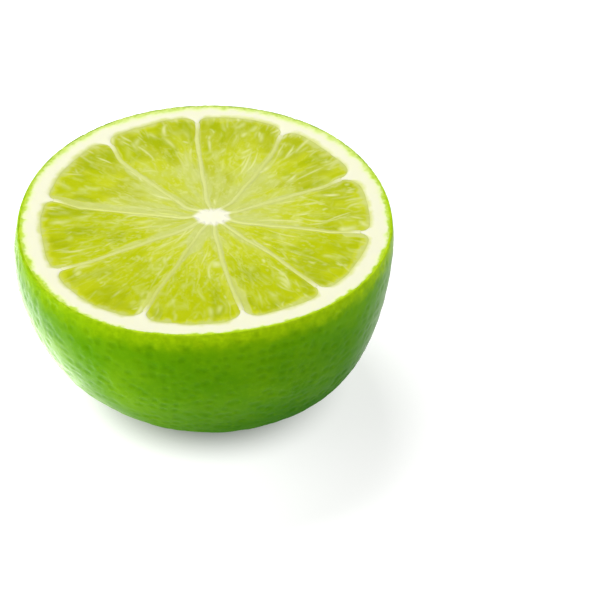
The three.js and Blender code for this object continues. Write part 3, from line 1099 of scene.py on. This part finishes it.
class LIME_OT_add_stage(bpy.types.Operator):
    """Add the pale floor, the soft studio lights and the camera"""

    bl_idname = "lime.add_stage"
    bl_label = "Add Stage"
    bl_options = {"REGISTER", "UNDO"}

    # the camera's height over the horizon, its distance from the fruit, and how wide a view it has there
    elevation = math.radians(38.9)
    distance = 0.8
    frame_width = 0.0828
    # the frame's middle, right of and below the middle of the cut face, in metres
    right, below = 0.0133, 0.01122

    def execute(self, context):
        self.add_floor()
        self.add_lights(context)
        self.add_camera(context)
        return {"FINISHED"}

    def add_floor(self):
        """A pale disc that glows like a light table, with a painted contact shadow where the glow fades
        out under the fruit, and less glow to the right.
        """
        deselect_all()
        bpy.ops.mesh.primitive_circle_add(
            vertices=96, radius=3.0, fill_type="NGON", location=(0, 0, -0.00002)
        )
        floor = bpy.context.object
        floor.name = "studio_floor"
        shader = Shader("studio_floor", Roughness=0.8, Specular_IOR_Level=0.1)
        shader.set("Base Color", (0.5, 0.5, 0.5, 1))
        shader.set("Emission Color", (1, 1, 1, 1))
        place = shader.add("ShaderNodeTexCoord").outputs["Object"]
        away = shader.add("ShaderNodeVectorMath", {0: place}, operation="LENGTH").outputs["Value"]
        sides = shader.add("ShaderNodeSeparateXYZ", {0: place}).outputs
        # painted contact shadow: the glow fades almost to nothing within 21 mm of the floor's middle,
        # under the fruit
        glow = shader.ramp(away, 0.009, 0.021, 0.05, 1.1)
        glow = shader.math("MULTIPLY", glow, shader.ramp(sides["X"], -0.03, 0.03, 1.0, 0.6))
        shader.set("Emission Strength", glow)
        floor.data.materials.append(shader.material)

    def add_lights(self, context):
        """A white world, soft boxes on the left, on the right and on top, and a low glow on the left."""
        world = bpy.data.worlds.new("studio_world")
        context.scene.world = world
        world.use_nodes = True
        backdrop = world.node_tree.nodes["Background"]
        backdrop.inputs["Color"].default_value = (1, 1, 1, 1)
        backdrop.inputs["Strength"].default_value = 0.3
        top = (0, 0, 0.02)
        add_light("box_left", (-0.85, -0.25, 0.38), top, (0.6, 0.6), 3.5)
        add_light("box_right", (0.85, -0.1, 0.42), top, (0.6, 0.6), 1.9)
        add_light("fill_left", (-0.5, -0.25, 0.06), top, (0.3, 0.1), 0.5)
        add_light("box_top", (-0.1, 0.35, 0.85), top, (0.35, 0.25), 5.2)
        low = Vector((-0.046, 0.01, 0.0006))
        add_light("glow_left", low, low + Vector((0, 0, 1)), (0.05, 0.07), 0.014)
        context.scene.view_settings.view_transform = "Standard"

    def add_camera(self, context):
        """A long lens, aimed down and a little beside the fruit."""
        lens = bpy.data.cameras.new("camera")
        camera = bpy.data.objects.new("camera", lens)
        bpy.context.collection.objects.link(camera)
        lens.sensor_width = 36
        lens.lens = 36 * self.distance / self.frame_width
        lens.clip_start, lens.clip_end = 0.05, 20
        rise, run = math.sin(self.elevation), math.cos(self.elevation)
        up = Vector((0, rise, run))
        back = Vector((0, -run, rise))
        middle = Vector((AXIS[0], AXIS[1], CUT_HEIGHT * MM))
        aim = middle + Vector((self.right, 0, 0)) - up * self.below
        camera.location = aim + back * self.distance
        camera.rotation_euler = (-back).to_track_quat("-Z", "Y").to_euler()
        context.scene.camera = camera


# ---- Panel and registration ----


class LIME_PT_panel(bpy.types.Panel):
    """The lime's pieces, sizes and colours"""

    bl_idname = "LIME_PT_panel"
    bl_label = "Lime Half"
    bl_space_type = "VIEW_3D"
    bl_region_type = "UI"
    bl_category = "Lime"

    def draw(self, context):
        for operator in OPERATORS:
            self.layout.operator(operator.bl_idname)
        for group in (context.scene.lime_sizes, context.scene.lime_colours):
            column = self.layout.column(align=True)
            for name in type(group).__annotations__:
                column.prop(group, name)


OPERATORS = (
    LIME_OT_add_skin,
    LIME_OT_add_pith,
    LIME_OT_add_membranes,
    LIME_OT_add_segments,
    LIME_OT_add_stage,
)
CLASSES = (LimeSizes, LimeColours, *OPERATORS, LIME_PT_panel)


def register():
    for cls in CLASSES:
        bpy.utils.register_class(cls)
    bpy.types.Scene.lime_sizes = PointerProperty(type=LimeSizes)
    bpy.types.Scene.lime_colours = PointerProperty(type=LimeColours)


def unregister():
    del bpy.types.Scene.lime_colours
    del bpy.types.Scene.lime_sizes
    for cls in reversed(CLASSES):
        bpy.utils.unregister_class(cls)


def main():
    register()
    bpy.ops.lime.add_skin()
    bpy.ops.lime.add_pith()
    bpy.ops.lime.add_membranes()
    bpy.ops.lime.add_segments()
    bpy.ops.lime.add_stage()


if __name__ == "__main__":
    main()
